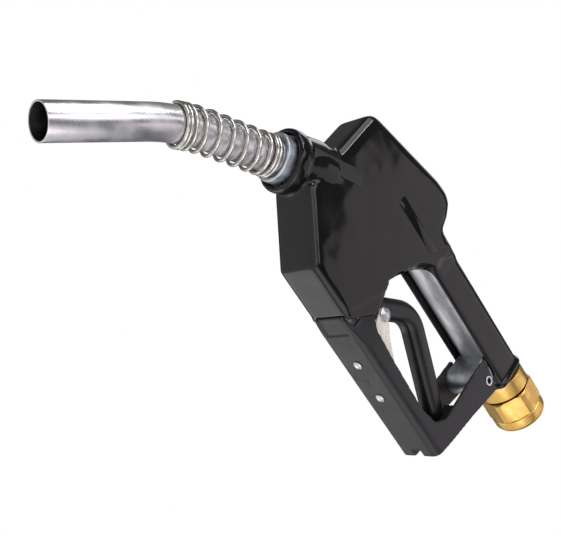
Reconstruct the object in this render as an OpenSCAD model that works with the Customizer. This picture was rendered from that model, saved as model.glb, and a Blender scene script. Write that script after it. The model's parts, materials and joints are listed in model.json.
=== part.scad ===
// Automatic shut-off fuel nozzle with a hose swivel, a hold-open latch and a spring round its spout.
// The origin is the middle of the inlet's mouth. +X leaves the inlet along the handle, +Z is up,
// and the spout runs forward to -X and down. Everything is symmetric about Y = 0. Millimetres.

/* [Inlet] */
// Wall radius of the inlet's thread (G 3/4 minor diameter, halved)
inlet_r = 12.06; // [11.9:0.01:12.2]
// Depth of the inlet's thread
inlet_depth = 17; // [16:0.5:18]
// Distance from the inlet's mouth to the end of the hand cover
inlet_len = 45; // [44:0.5:46]
// Distance across the swivel nut's flats
hex_af = 40; // [39:0.5:41]
// Radius of the swivel nut's collar
collar_r = 21.5; // [21:0.1:22]

/* [Handle] */
// Width of the covered handle
handle_w = 33; // [32:0.5:34]
// Height of the covered handle
handle_h = 34; // [33:0.5:35]
// Radius of the flow passage
flow_r = 9.5; // [8:0.5:9.5]

/* [Body] */
// Width of the covered body
body_w = 38; // [38:0.5:40]
// Wall thickness of the vinyl cover
cover_t = 2.8; // [2.4:0.1:2.8]
// Outer radius of the cover's neck
neck_r = 22.5; // [22.5:0.1:23]

/* [Spout] */
// Outer radius of the spout tube (15/16 inch tube)
spout_r = 11.9; // [11.8:0.05:11.9]
// Wall thickness of the spout tube
spout_wall = 1.2; // [1:0.1:1.4]
// Angle of the spout's root below horizontal
root_angle = 38.5; // [38:0.5:39]
// Further angle that the spout turns down
bend_angle = 17.9; // [15:0.1:20]
// Length of the spout from the neck's mouth to the corner of the bend
root_len = 84; // [84:0.5:90]
// Length of the spout from the corner of the bend to the tip
tip_len = 94.3; // [80:0.1:110]
// Middle radius of the bend
bend_r = 150; // [140:5:160]

/* [Guard and lever] */
// Width of the lever guard
guard_w = 35; // [34:0.5:35]
// Sheet thickness of the lever guard
guard_t = 3; // [2.5:0.1:3]
// Width of the lever's hand bar
lever_w = 15; // [13:0.5:15]
// Height of the lever's hand bar
lever_h = 17; // [15:0.5:17]

/* [Hidden] */
$fn = 48;

fit = 0.05;
// Mouth of the neck, on the spout's root axis
neck_x = -303;
neck_z = -66;
// Upright axis of the main valve, and of the plunger and diaphragm
valve_x = -208;
plunger_x = -240;
// Pivot of the lever on the plunger
pivot_z = -92;
lever_front_h = 7;
stem_r = 3;
// Rivet that carries the hold-open latch
latch_x = -170.8;
latch_z = -72.2;
// Rear pin of the guard
guard_pin_x = -64;
guard_pin_z = -28;
guard_pin_r = 3.6;
// Centres of the two rack rivets
rack_rivet_x = [-158, -126.5];
guard_web_z = -110.5;

// Side outline of the covered body, without its neck and handle
cover_outline = [
    [-284.6, -50], [-284.6, 11.5], [-282.4, 16.5], [-277.5, 19.2], [-208, 40], [-195, 41], [-186, 37.6],
    [-179.5, 27], [-175.5, 16.9],
    [-165, 16.9], [-165, -16.9], [-169, -19.5], [-175, -26.5], [-184, -47], [-190, -61], [-198, -108],
    [-242, -108], [-283.5, -73]
];
// Side outline of the cover's rear lip, over the guard's ears
lip_outline = [[-194, -56], [-190, -61], [-184.5, -72], [-181.5, -85.4], [-196.8, -108], [-202, -104]];
// Outer side outline of the guard, round the bottom, up the rear link and back along the hand gap
guard_outline = [
    [-181.5, -85.6], [-197, -108.5], [-194, -110.5], [-68, -110.5], [-65.5, -108.5], [-63.5, -90], [-59, -60],
    [-52.6, -27], [-55, -24.5], [-76, -18.8], [-79.3, -20.5], [-80.2, -40], [-79.5, -62], [-79.5, -82],
    [-83, -89], [-90, -94.5], [-101, -97.6], [-115, -97], [-149, -95], [-173.5, -92]
];
// Middle line of the lever: level front, rising part, round top, and straight hand bar
lever_rise = 43;
lever_fall = 25.5;
lever_top_r = 20;
lever_top_x = -145;
lever_top_z = -68;
lever_rear_x = -80;

// ---------- helpers ----------

// Draws a side outline, drawn in X and Z, as a slab of width w about Y = 0
module slab(w) {
    rotate([90, 0, 0]) linear_extrude(height = w, center = true) children();
}

// Puts a shape, drawn along +Z, on the spout's root axis at distance t outward of the neck's mouth
module at_root(t = 0) {
    translate([neck_x, 0, neck_z]) rotate([0, -(90 + root_angle), 0]) translate([0, 0, t]) children();
}

// Puts a shape, drawn along +Z, on the bore of the inlet with +Z towards +X
module along_x(x = 0) {
    translate([x, 0, 0]) rotate([0, 90, 0]) children();
}

// A shape, drawn along +Z, turned to lie across the nozzle at (x, z)
module across(x, z) {
    translate([x, 0, z]) rotate([90, 0, 0]) children();
}

module ring(r_out, r_in, h) {
    rotate_extrude() translate([r_in, 0]) square([r_out - r_in, h]);
}

module round_rect(a, b, r) {
    square([a - 2 * r, b], center = true);
    square([a, b - 2 * r], center = true);
    for (sx = [-1, 1], sy = [-1, 1]) translate([sx * (a / 2 - r), sy * (b / 2 - r)]) circle(r);
}

// Distance along the root axis at which the spout's bend starts
function bend_start() = root_len - bend_r * tan(bend_angle / 2);

// Carries a cross-section along the spout from t0 at its root to s_end short of its tip
module along_spout(t0, s_end = 0) {
    tangent = bend_r * tan(bend_angle / 2);
    at_root(t0) linear_extrude(height = root_len - tangent - t0) children();
    at_root(root_len - tangent) translate([-bend_r, 0, 0]) rotate([90, 0, 0]) {
        rotate_extrude(angle = bend_angle) translate([bend_r, 0]) children();
        rotate([0, 0, bend_angle]) translate([bend_r, 0, 0]) rotate([-90, 0, 0])
            linear_extrude(height = tip_len - tangent - s_end) children();
    }
}

// Puts a shape, drawn along +Z, on the tip's axis at distance s back from the tip
module at_tip(s) {
    tangent = bend_r * tan(bend_angle / 2);
    at_root(root_len - tangent) translate([-bend_r, 0, 0]) rotate([90, 0, 0])
        rotate([0, 0, bend_angle]) translate([bend_r, 0, 0]) rotate([-90, 0, 0])
            translate([0, 0, tip_len - tangent - s]) children();
}

// Round wire wound to a coil, with its height at the end of each turn. Above bow_from it follows a bend
// of radius bow_r towards -X.
module coil(r, wire_r, heights, steps = 16, sides = 6, bow_from = 1000, bow_r = 1000) {
    n = len(heights) - 1;
    total = n * steps;
    function height_at(k) =
        let (i = min(floor(k / steps), n - 1), f = k / steps - i)
        heights[i] + f * (heights[i + 1] - heights[i]);
    function bowed(x, y, z) =
        let (turn = max(z - bow_from, 0) / bow_r * 180 / PI)
        [(bow_r + x) * cos(turn) - bow_r, y, min(z, bow_from) + (bow_r + x) * sin(turn)];
    rings = [
        for (k = [0:total], j = [0:sides - 1])
        let (a = 360 * k / steps, b = 360 * j / sides, q = r + wire_r * cos(b))
        bowed(q * cos(a), q * sin(a), height_at(k) + wire_r * sin(b))
    ];
    walls = [
        for (k = [0:total - 1], j = [0:sides - 1])
        let (j2 = (j + 1) % sides, p = k * sides)
        [p + j, p + j2, p + sides + j2, p + sides + j]
    ];
    start = [for (j = [sides - 1:-1:0]) j];
    end = [for (j = [0:sides - 1]) total * sides + j];
    polyhedron(points = rings, faces = concat([start], walls, [end]));
}

// ---------- body and cover ----------

// Section of the covered handle, with half-round upper corners and tighter lower ones (local +X is down)
module handle_section(inset) {
    half_h = handle_h / 2 - inset;
    round_rect(2 * half_h, handle_w - 2 * inset, 9 - inset);
    translate([half_h / 2, 0]) round_rect(half_h, handle_w - 2 * inset, max(4.2 - inset, 1.2));
}

// Outside of the cover, or of what lies under it when inset is its thickness
module cover_form(inset) {
    w = body_w - 2 * inset;
    top_slope = atan2(40 - 19.2, 277.5 - 208);
    intersection() {
        slab(w) offset(delta = -inset) polygon(cover_outline);
        // Rounds the upright front edges
        translate([-284.6 + inset + 100, 0, -150]) linear_extrude(height = 250) round_rect(200, w, 7.5 - inset);
        // Rounds the sloping upper edges
        translate([-277.5, 0, 19.2]) rotate([0, -top_slope, 0]) translate([-100, 0, -inset - 150])
            rotate([0, 90, 0]) linear_extrude(height = 300) round_rect(300, w, 8 - inset);
        // Rounds the level lower edges
        translate([-300, 0, -108 + inset + 150]) rotate([0, 90, 0])
            linear_extrude(height = 200) round_rect(300, w, 4.6 - inset);
    }
    translate([-182, 0, 0]) along_x()
        linear_extrude(height = 182 - inlet_len - inset / 10) handle_section(inset);
    at_root(-30) cylinder(r = neck_r - inset, h = 30 + (inset == 0 ? 1.5 : -2));
}

// Room for the lever: a slot between the body's cheeks, clear of its whole swing
module lever_room(half_w, low_half_w) {
    slab(2 * half_w) polygon([[-256, -79], [-216, -78.5], [-178, -33], [-150, -33], [-150, -79.5]]);
    slab(2 * low_half_w) polygon([[-256, -79], [-150, -79], [-150, -112], [-235, -112], [-256, -98]]);
}

module hand_cover() {
    color("#161617") difference() {
        union() {
            cover_form(0);
            for (side = [-1, 1]) translate([0, side * 17, 0]) slab(2.4) polygon(lip_outline);
        }
        cover_form(cover_t);
        at_root(-5) cylinder(r = 17.5, h = 10);
        // Underside of the handle, where the casting shows
        translate([-114, 0, -20]) linear_extrude(height = 10) round_rect(112, 27.2, 11);
        translate([-100, -13.6, -20]) cube([42, 27.2, 10]);
        // Open end of the handle
        along_x(-inlet_len - 3) linear_extrude(height = 6) handle_section(cover_t);
        difference() {
            lever_room(10.9, 10.9);
            translate([-300, -20, -120]) cube([102.5, 40, 14.8]);
            translate([-300, -20, -120]) cube([95, 40, 60]);
        }
        // Room for the guard's ears under the lip
        for (side = [-1, 1])
            translate([-206, side > 0 ? 10.9 : -15.7, -105.2]) cube([30, 4.8, 19.6]);
    }
}

module body_casting() {
    inset = cover_t + 0.1;
    color("#b4b6b8") difference() {
        union() {
            difference() {
                cover_form(inset);
                // Convex underside of the handle
                difference() {
                    translate([-170, -20, -20]) cube([130, 40, 14]);
                    along_x(-171) translate([-7.9, 0, 0]) cylinder(r = 22, h = 132);
                }
                translate([-300, -30, 5.9]) cube([76, 60, 60]);
                translate([-225, -30, 12]) cube([46, 60, 60]);
            }
            // Boss of the main valve
            translate([valve_x, 0, 10]) cylinder(r = 15.8, h = 11);
            // Tab between the guard's ears
            slab(21.6) polygon([[-205, -60], [-190, -62], [-186, -72], [-184, -86], [-184, -105], [-205, -105]]);
            // Lug of the guard's rear pin
            across(guard_pin_x - 2, guard_pin_z) cylinder(r = 11, h = 28.4, center = true);
            translate([guard_pin_x - 13, -12.5, guard_pin_z]) cube([18.5, 25, 17]);
        }
        // Flow passage, upper valve chamber and seat
        along_x(valve_x) cylinder(r = flow_r, h = -valve_x);
        along_x(-66) cylinder(r = 11.5, h = 60);
        translate([valve_x, 0, -12]) cylinder(r = 13.2, h = 40);
        translate([valve_x, 0, -20]) cylinder(r = 9.2, h = 10);
        // Lower chamber, which leaves a sleeve round the plunger
        difference() {
            translate([-262, -12.5, -40]) cube([64, 25, 22]);
            translate([plunger_x, 0, -42]) cylinder(r = 8.5, h = 26);
        }
        at_root(-60) cylinder(r = 10.5, h = 40);
        at_root(-24) cylinder(r = 14.05, h = 40);
        at_root(-9.5) cylinder(r = 16, h = 40);
        // Stem, packing and gland
        translate([valve_x, 0, -50]) cylinder(r = stem_r + fit, h = 12);
        translate([valve_x, 0, -80]) cylinder(r = 6.05, h = 32);
        translate([valve_x, 0, -82]) cylinder(r = 7.5, h = 13.2);
        // Plunger, its bush and spring, and the ball latch
        translate([plunger_x, 0, -82]) cylinder(r = 7.05, h = 32);
        translate([plunger_x, 0, -51]) cylinder(r = 6.3, h = 47);
        translate([plunger_x, 0, -5]) cylinder(r = 3.3, h = 10);
        translate([plunger_x, 0, 2.6]) cylinder(r = 11, h = 5);
        for (a = [45:90:315]) rotate_at(plunger_x, a) cylinder(r = 1.25, h = 10);
        lever_room(8.8, 7.4);
        // Pockets for the guard's ears, and their screw holes
        for (side = [-1, 1]) {
            translate([-206, side > 0 ? 10.8 : -20.8, -110]) cube([40, 10, 24.5]);
            across(-194, -97) cylinder(r = 2.2, h = 40, center = true);
        }
        across(guard_pin_x, guard_pin_z) cylinder(r = guard_pin_r + fit, h = 40, center = true);
        // Round pocket that lightens the lug
        across(guard_pin_x - 7.5, guard_pin_z - 4) cylinder(r = 2.2, h = 40, center = true);
    }
}

// Places a vacuum-cap screw hole at angle a about the diaphragm's axis
module rotate_at(x, a) {
    translate([x, 0, -1]) rotate([0, 0, a]) translate([13.15, 0, 0]) children();
}

// ---------- spout ----------

module spout_tube() {
    color("#c9ccce") difference() {
        along_spout(-15.5) circle(r = spout_r);
        along_spout(-15.6, -0.1) circle(r = spout_r - spout_wall);
        at_tip(23) rotate([0, -90, 0]) cylinder(r = 2.5, h = 20);
    }
}

module vent_tube() {
    color("#b98d3c") difference() {
        along_spout(-8, 20) translate([-8, 0]) circle(r = 1.8);
        along_spout(-9, 22) translate([-8, 0]) circle(r = 1.1);
        at_tip(23) rotate([0, -90, 0]) cylinder(r = 1, h = 20);
    }
}

module vent_port() {
    color("#8f9193") at_tip(23) rotate([0, -90, 0]) difference() {
        intersection() {
            cylinder(r = 2.45, h = spout_r + 1);
            rotate([0, 90, 0]) cylinder(r = spout_r - 0.4, h = 12, center = true);
        }
        translate([0, 0, -1]) cylinder(r = 1, h = 20);
        translate([0, 0, -1]) cylinder(r = 3, h = spout_r - 2.05 + 1);
    }
}

module anchor_spring() {
    heights = [10.45, 13.1, 15.75, 22, 32.4, 43, 53.6, 64.2, 74.6, 81.4, 84.05, 86.7];
    color("#b8bcc0") at_root(0) coil(14.1, 1.25, heights, steps = 20, sides = 8, bow_from = bend_start(), bow_r = bend_r);
}

module spout_nut() {
    color("#b9c2c8") at_root(-9) difference() {
        union() {
            cylinder(r = 15.9, h = 9);
            translate([0, 0, 7]) cylinder(r = 17.2, h = 10);
            translate([0, 0, 17]) cylinder(r1 = 17.2, r2 = 16.4, h = 1);
        }
        translate([0, 0, -1]) cylinder(r = 14.1, h = 14.2);
        translate([0, 0, -1]) cylinder(r = spout_r + 0.25, h = 30);
    }
}

module spout_adapter() {
    color("#c2a04a") at_root(-19) difference() {
        cylinder(r = 14, h = 23);
        translate([0, 0, -1]) cylinder(r = 10.8, h = 40);
        translate([0, 0, 3.4]) cylinder(r = spout_r + fit, h = 40);
        translate([0, 0, 4]) ring(15, 12.7, 2.2);
    }
}

module spout_seal() {
    color("#202020") at_root(-14.9) ring(14, 12.75, 2);
}

module check_seat() {
    color("#9aa0a4") at_root(-24) ring(14, 8.5, 4.4);
}

module check_poppet() {
    color("#c2a04a") at_root(-19.5) {
        cylinder(r = 9.8, h = 2.5);
        translate([0, 0, -20]) cylinder(r = 1.5, h = 20.1);
        translate([0, 0, -21.5]) cylinder(r = 3.6, h = 1.6);
    }
}

module check_guide() {
    color("#9aa0a4") at_root(-30) difference() {
        cylinder(r = 10.4, h = 4);
        translate([0, 0, -1]) cylinder(r = 1.56, h = 10);
        for (a = [0:60:300]) rotate([0, 0, a]) translate([6.2, 0, -1]) cylinder(r = 2.5, h = 10);
    }
}

module check_spring() {
    color("#aeb2b5") at_root(-30.5) mirror([0, 0, 1])
        coil(2.6, 0.4, [0, 2, 4, 6, 8], steps = 14, sides = 5);
}

// ---------- main valve ----------

module main_stem() {
    color("#b5b8ba") translate([valve_x, 0, 0]) {
        translate([0, 0, pivot_z + lever_front_h + stem_r]) sphere(r = stem_r);
        translate([0, 0, pivot_z + lever_front_h + stem_r]) cylinder(r = stem_r, h = 76);
        translate([0, 0, -6.02]) cylinder(r = 2, h = 6);
    }
}

module poppet_disc() {
    color("#9c7a35") translate([valve_x, 0, -9.5]) difference() {
        union() {
            cylinder(r = 11.2, h = 3.5);
            cylinder(r = 5, h = 7);
        }
        translate([0, 0, -1]) cylinder(r = stem_r + 0.02, h = 4.5);
        translate([0, 0, -1]) cylinder(r = 2.02, h = 12);
    }
}

module disc_seal() {
    color("#252525") translate([valve_x, 0, -12]) ring(11.2, stem_r + 0.05, 2.5);
}

module main_spring() {
    color("#aeb2b5") translate([valve_x, 0, -5]) coil(8, 0.9, [0, 2.2, 5.8, 9.4, 13, 15.2], steps = 14, sides = 6);
}

module body_cap() {
    color("#9aa0a4") translate([valve_x, 0, 13]) difference() {
        union() {
            cylinder(r = 13.1, h = 8.1);
            translate([0, 0, 8]) cylinder(r = 15.5, h = 3);
            translate([0, 0, 11]) cylinder(r = 11, h = 4, $fn = 6);
        }
        translate([0, 0, 2]) ring(14, 11.5, 2.2);
        translate([0, 0, -1]) cylinder(r = 4, h = 3);
    }
}

module cap_seal() {
    color("#202020") translate([valve_x, 0, 15.1]) ring(13.1, 11.55, 2);
}

module stem_packing() {
    color("#e8e4d8") translate([valve_x, 0, -56]) ring(6, stem_r + fit, 7.9);
}

module gland_nut() {
    color("#c2a04a") translate([valve_x, 0, -72]) difference() {
        union() {
            translate([0, 0, 3]) cylinder(r = 6, h = 12.9);
            translate([0, 0, 0.5]) rotate([0, 0, 30]) cylinder(r = 7.2, h = 2.6, $fn = 6);
        }
        translate([0, 0, -1]) cylinder(r = stem_r + fit, h = 30);
    }
}

// ---------- automatic shut-off ----------

module vacuum_cap() {
    color("#aeb2b5") translate([plunger_x, 0, 6.9]) difference() {
        union() {
            cylinder(r = 15.2, h = 3);
            cylinder(r = 10.9, h = 10.5);
        }
        translate([0, 0, -1]) cylinder(r = 9.5, h = 10);
        for (a = [45:90:315]) rotate([0, 0, a]) translate([13.15, 0, -1]) cylinder(r = 1.3, h = 9);
    }
}

module cap_screws() {
    color("#c9ccce") for (a = [45:90:315]) rotate_at(plunger_x, a) {
        cylinder(r = 1.2, h = 11);
        translate([0, 0, 10.95]) cylinder(r = 2, h = 1.5);
    }
}

module diaphragm() {
    color("#2b2b2b") translate([plunger_x, 0, 5.95]) difference() {
        cylinder(r = 14.6, h = 0.9);
        translate([0, 0, -1]) cylinder(r = 2.05, h = 3);
        for (a = [45:90:315]) rotate([0, 0, a]) translate([13.15, 0, -1]) cylinder(r = 1.4, h = 3);
    }
}

module latch_pin() {
    color("#c9ccce") translate([plunger_x, 0, 0]) {
        translate([0, 0, -11.2]) cylinder(r = 2.9, h = 15.8);
        translate([0, 0, 4.5]) cylinder(r = 6, h = 1.4);
        translate([0, 0, 5]) cylinder(r = 2, h = 3);
        translate([0, 0, 6.9]) cylinder(r = 6, h = 1.2);
    }
}

module diaphragm_spring() {
    color("#aeb2b5") translate([plunger_x, 0, 8.7]) coil(4, 0.45, [0, 1.2, 3, 4.8, 6], steps = 14, sides = 5);
}

module latch_balls() {
    color("#c9ccce") for (a = [0:120:240])
        translate([plunger_x, 0, -9.5]) rotate([0, 0, a]) translate([4.6, 0, 0]) sphere(r = 1.6, $fn = 24);
}

module plunger() {
    color("#b5b8ba") translate([plunger_x, 0, 0]) difference() {
        union() {
            translate([0, 0, -16]) cylinder(r = 6, h = 10);
            translate([0, 0, -83]) cylinder(r = 4, h = 67.5);
            translate([-4, -2.4, -95.5]) cube([8, 4.8, 13]);
        }
        translate([0, 0, -13.6]) cylinder(r = 3.2, h = 12);
        for (a = [0:120:240]) translate([0, 0, -9.5]) rotate([0, 90, a]) cylinder(r = 1.7, h = 8);
        across(0, pivot_z) cylinder(r = 2.5, h = 20, center = true);
    }
}

module plunger_bush() {
    color("#b98d3c") translate([plunger_x, 0, -76]) ring(7, 4 + fit, 26);
}

module plunger_spring() {
    color("#aeb2b5") translate([plunger_x, 0, -49.2])
        coil(5.2, 0.6, [0, 1.5, 7, 13, 19, 25, 31, 32.4], steps = 14, sides = 5);
}

// ---------- lever and latch ----------

// Middle line of the lever's rising part, as the point where it leaves the level front part
function rise_foot_x() =
    lever_top_x - lever_top_r * sin(lever_rise)
    - (lever_top_z + lever_top_r * cos(lever_rise) - pivot_z) / tan(lever_rise);

// Side outline of a straight bar of height h from point a to point b
module bar(a, b, h) {
    angle = atan2(b[1] - a[1], b[0] - a[0]);
    translate(a) rotate(angle) translate([0, -h / 2]) square([norm(b - a), h]);
}

// Side outline of the lever behind its level front part
module lever_side() {
    rise_top = [lever_top_x - lever_top_r * sin(lever_rise), lever_top_z + lever_top_r * cos(lever_rise)];
    fall_top = [lever_top_x + lever_top_r * sin(lever_fall), lever_top_z + lever_top_r * cos(lever_fall)];
    rear = [lever_rear_x, fall_top[1] - (lever_rear_x - fall_top[0]) * tan(lever_fall)];
    bar([-180, rise_top[1] - (rise_top[0] + 180) * tan(lever_rise)], rise_top, lever_h);
    intersection() {
        translate([lever_top_x, lever_top_z]) difference() {
            circle(r = lever_top_r + lever_h / 2);
            circle(r = lever_top_r - lever_h / 2);
        }
        translate([lever_top_x, lever_top_z])
            polygon([[0, 0], 60 * [-sin(lever_rise), cos(lever_rise)], [0, 60], 60 * [sin(lever_fall), cos(lever_fall)]]);
    }
    bar(fall_top, rear, lever_h);
    translate(rear) circle(r = lever_h / 2);
}

module lever() {
    rise_top = [lever_top_x - lever_top_r * sin(lever_rise), lever_top_z + lever_top_r * cos(lever_rise)];
    color("#242426") difference() {
        union() {
            slab(lever_w) lever_side();
            slab(12) {
                bar([plunger_x, pivot_z], [rise_foot_x(), pivot_z], 2 * lever_front_h);
                translate([plunger_x, pivot_z]) circle(r = 6.2);
                translate([rise_foot_x(), pivot_z]) circle(r = lever_front_h);
                bar([rise_foot_x(), pivot_z], rise_top, 2 * lever_front_h);
            }
        }
        across(plunger_x, pivot_z) cylinder(r = 2.55, h = 30, center = true);
        across(latch_x, latch_z) cylinder(r = 2.5, h = 30, center = true);
        across(latch_x, latch_z) translate([0, 0, 4.4]) cylinder(r = 4.8, h = 6);
        translate([plunger_x - 10, -2.7, pivot_z - 12]) cube([21, 5.4, 24]);
        translate([plunger_x - 10, -7, pivot_z + 6.2]) cube([16, 14, 2]);
        translate([plunger_x - 10, -7, pivot_z - 8.2]) cube([16, 14, 2]);
    }
}

module lever_pin() {
    color("#b5b8ba") across(plunger_x, pivot_z) cylinder(r = 2.49, h = 13.8, center = true);
}

module pin_clips() {
    color("#8f9193") for (side = [0, 1]) mirror([0, side, 0])
        translate([plunger_x, 6.15, pivot_z]) rotate([-90, 0, 0]) ring(4, 2.5, 0.6);
}

// Stirrup of two side plates and a cross bar, which straddles the lever
module latch_plate() {
    foot = [-133, -96];
    color("#dcdcda") difference() {
        union() {
            for (side = [-1, 1]) translate([0, side * 8.5, 0]) slab(1.5) {
                translate([latch_x, latch_z]) circle(r = 5.6);
                polygon([
                    [-175.4, -75.4], [-171.8, -84], [-141, -97.2], [-133.4, -99.2], [-131.2, -95.6],
                    [-141.5, -88], [-156.5, -79.3], [-163.5, -72.6]
                ]);
            }
            across(foot[0], foot[1]) cylinder(r = 2.2, h = 17.2, center = true);
        }
        across(latch_x, latch_z) cylinder(r = 2.55, h = 30, center = true);
    }
}

module latch_rivet() {
    color("#c9ccce") across(latch_x, latch_z) {
        cylinder(r = 2.48, h = 20, center = true);
        for (side = [0, 1]) mirror([0, 0, side]) translate([0, 0, 9.55]) {
            cylinder(r = 5.2, h = 1);
            translate([0, 0, 0.95]) cylinder(r1 = 5.2, r2 = 3.4, h = 0.9);
        }
    }
}

module latch_spring() {
    color("#aeb2b5") across(latch_x, latch_z) translate([0, 0, 5.1]) coil(3.8, 0.45, [0, 0.95, 1.9], steps = 16, sides = 6);
}

// ---------- guard ----------

module lever_guard() {
    color("#1d1d1f") difference() {
        union() {
            intersection() {
                slab(guard_w) polygon(guard_outline);
                // Flat web between two rounded corners
                translate([-230, 0, 0]) along_x() linear_extrude(height = 200)
                    translate([31, 0]) round_rect(2 * 31 + 2 * 110.5 - 62, guard_w, 7);
                // Front that narrows to fit under the cover's lip
                translate([0, 0, -150]) linear_extrude(height = 200) polygon([
                    [-200, -13], [-186, -15.8], [-170, -20], [-40, -20], [-40, 20], [-170, 20], [-186, 15.8],
                    [-200, 13]
                ]);
            }
            // Ears that the front screws hold
            for (side = [-1, 1]) translate([0, side * 13.2, 0]) slab(4.4)
                polygon([[-203, -87], [-182, -87], [-179, -91.5], [-179, -104], [-203, -104]]);
        }
        // Inside of the channel: the web stays under it and behind it, and the fork is open
        slab(guard_w - 2 * guard_t) polygon([
            [-181, -107.5], [-73, -107.5], [-69.5, -104], [-67, -90], [-62, -56], [-40, -56], [-40, -10], [-181, -10]
        ]);
        slab(22) polygon([[-230, -107.5], [-180, -107.5], [-180, -60], [-230, -60]]);
        // Drain slot in the rear corner, and the shallow recess at the web's front
        translate([-76, -4, -115]) cube([20, 8, 16]);
        translate([-194, -9.5, -112]) cube([10, 19, 2.8]);
        across(guard_pin_x, guard_pin_z) cylinder(r = guard_pin_r + fit, h = 60, center = true);
        for (x = rack_rivet_x) translate([x, 0, -115]) cylinder(r = 2.05, h = 12);
        translate([-142.2, 0, -112]) cylinder(r1 = 3, r2 = 1.5, h = 2.4);
        for (side = [0, 1]) mirror([0, side, 0]) translate([-194, 0, -97]) rotate([-90, 0, 0]) {
            cylinder(r = 2.2, h = 20);
            translate([0, 0, 13.4]) cylinder(r = 4.1, h = 6);
        }
    }
}

module guard_pin() {
    color("#c9ccce") across(guard_pin_x, guard_pin_z) translate([0, 0, -18.2]) ring(guard_pin_r, 2.1, 36.4);
}

module guard_screws() {
    color("#c9ccce") for (side = [0, 1]) mirror([0, side, 0])
        translate([-194, 0, -97]) rotate([-90, 0, 0]) {
            translate([0, 0, 8]) cylinder(r = 2.15, h = 6);
            translate([0, 0, 13.5]) cylinder(r = 4, h = 1.8);
        }
}

module hold_open_rack() {
    color("#aeb2b5") difference() {
        union() {
            translate([-164, -9, -107.5]) cube([44, 18, 2]);
            for (x = [-150, -142, -134]) translate([x, 0, -105.6]) rotate([90, 0, 0])
                linear_extrude(height = 16, center = true) polygon([[-2, 0], [2, 0], [2, 1.6], [1, 1.6]]);
        }
        for (x = rack_rivet_x) translate([x, 0, -110]) cylinder(r = 2.05, h = 8);
    }
}

module rack_rivets() {
    color("#c9ccce") for (x = rack_rivet_x) translate([x, 0, 0]) {
        translate([0, 0, -111.5]) cylinder(r = 2, h = 6.5);
        translate([0, 0, -105.5]) cylinder(r = 3.2, h = 1);
        translate([0, 0, guard_web_z - 0.8]) cylinder(r = 3.5, h = 0.8);
        translate([0, 0, guard_web_z - 1.6]) cylinder(r1 = 2.2, r2 = 3.5, h = 0.82);
    }
}

// ---------- inlet ----------

module inlet_adapter() {
    color("#c9a24c") difference() {
        union() {
            along_x(-64) cylinder(r = 11.4, h = 20);
            along_x(-inlet_len) cylinder(r = 20.5, h = 13.5);
            along_x(-32) cylinder(r = 15, h = 12);
        }
        along_x(-70) cylinder(r = 9, h = 80);
        along_x(-30) ring(16, 13.2, 2);
        along_x(-26.4) ring(16, 13.9, 1.8);
        along_x(-23.4) ring(16, 13.2, 2);
    }
}

module thrust_washer() {
    color("#e8e4d8") along_x(-31.5) ring(19, 15.3, 1.1);
}

module swivel_seals() {
    color("#202020") for (x = [-29.9, -23.3]) along_x(x) ring(14.9, 13.25, 1.8);
}

module swivel_ring() {
    color("#c9ccce") along_x(-26.2) ring(15.7, 13.95, 1.4);
}

module swivel_nut() {
    color("#c9a24c") difference() {
        union() {
            intersection() {
                along_x(-30) rotate([0, 0, 51]) cylinder(r = hex_af / 2 / cos(30), h = 20, $fn = 6);
                // Narrow flats across the hexagon's corners
                along_x(-31) rotate([0, 0, 21]) cylinder(r = 22 / cos(30), h = 40, $fn = 6);
            }
            along_x(-11) cylinder(r = collar_r, h = 8);
            along_x(-3) cylinder(r1 = collar_r, r2 = collar_r - 1, h = 1.5);
            along_x(-1.5) cylinder(r1 = collar_r - 1, r2 = collar_r - 3, h = 1.5);
        }
        along_x(-31) cylinder(r = 15 + fit, h = 12);
        along_x(-26.6) ring(16.1, 14, 2.2);
        along_x(-20) cylinder(r = 10, h = 4);
        along_x(-inlet_depth) cylinder(r = inlet_r, h = inlet_depth + 1);
    }
}

module inlet_strainer() {
    color("#b5b8ba") difference() {
        along_x(-60) cylinder(r = 8.9, h = 24);
        along_x(-59.2) cylinder(r = 8.2, h = 30);
        for (a = [0:45:135]) rotate([a, 0, 0]) translate([-57, -1.2, -15]) cube([17, 2.4, 30]);
        along_x(-61) for (a = [0:60:300]) rotate([0, 0, a]) translate([4.6, 0, 0]) cylinder(r = 1.6, h = 4);
    }
}

body_casting();
hand_cover();
spout_tube();
vent_tube();
vent_port();
anchor_spring();
spout_nut();
spout_adapter();
spout_seal();
check_seat();
check_poppet();
check_spring();
check_guide();
main_stem();
poppet_disc();
disc_seal();
main_spring();
body_cap();
cap_seal();
stem_packing();
gland_nut();
vacuum_cap();
cap_screws();
diaphragm();
latch_pin();
diaphragm_spring();
latch_balls();
plunger();
plunger_bush();
plunger_spring();
lever();
lever_pin();
pin_clips();
latch_plate();
latch_rivet();
latch_spring();
hold_open_rack();
rack_rivets();
lever_guard();
guard_pin();
guard_screws();
inlet_adapter();
swivel_nut();
swivel_seals();
swivel_ring();
thrust_washer();
inlet_strainer();
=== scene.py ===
"""Fuel nozzle: spout and anchor spring, covered valve body and handle, lever, loop guard and swivel inlet.

Pieces are modelled in millimetres in the CAD frame (X along the handle, Z up, Y across) and scaled to metres
when they are finished. Pieces with no model here are the CAD's own, with a surface put on them.
"""
import json
import math

import bmesh
import bpy
from mathutils import Matrix, Vector


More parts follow.
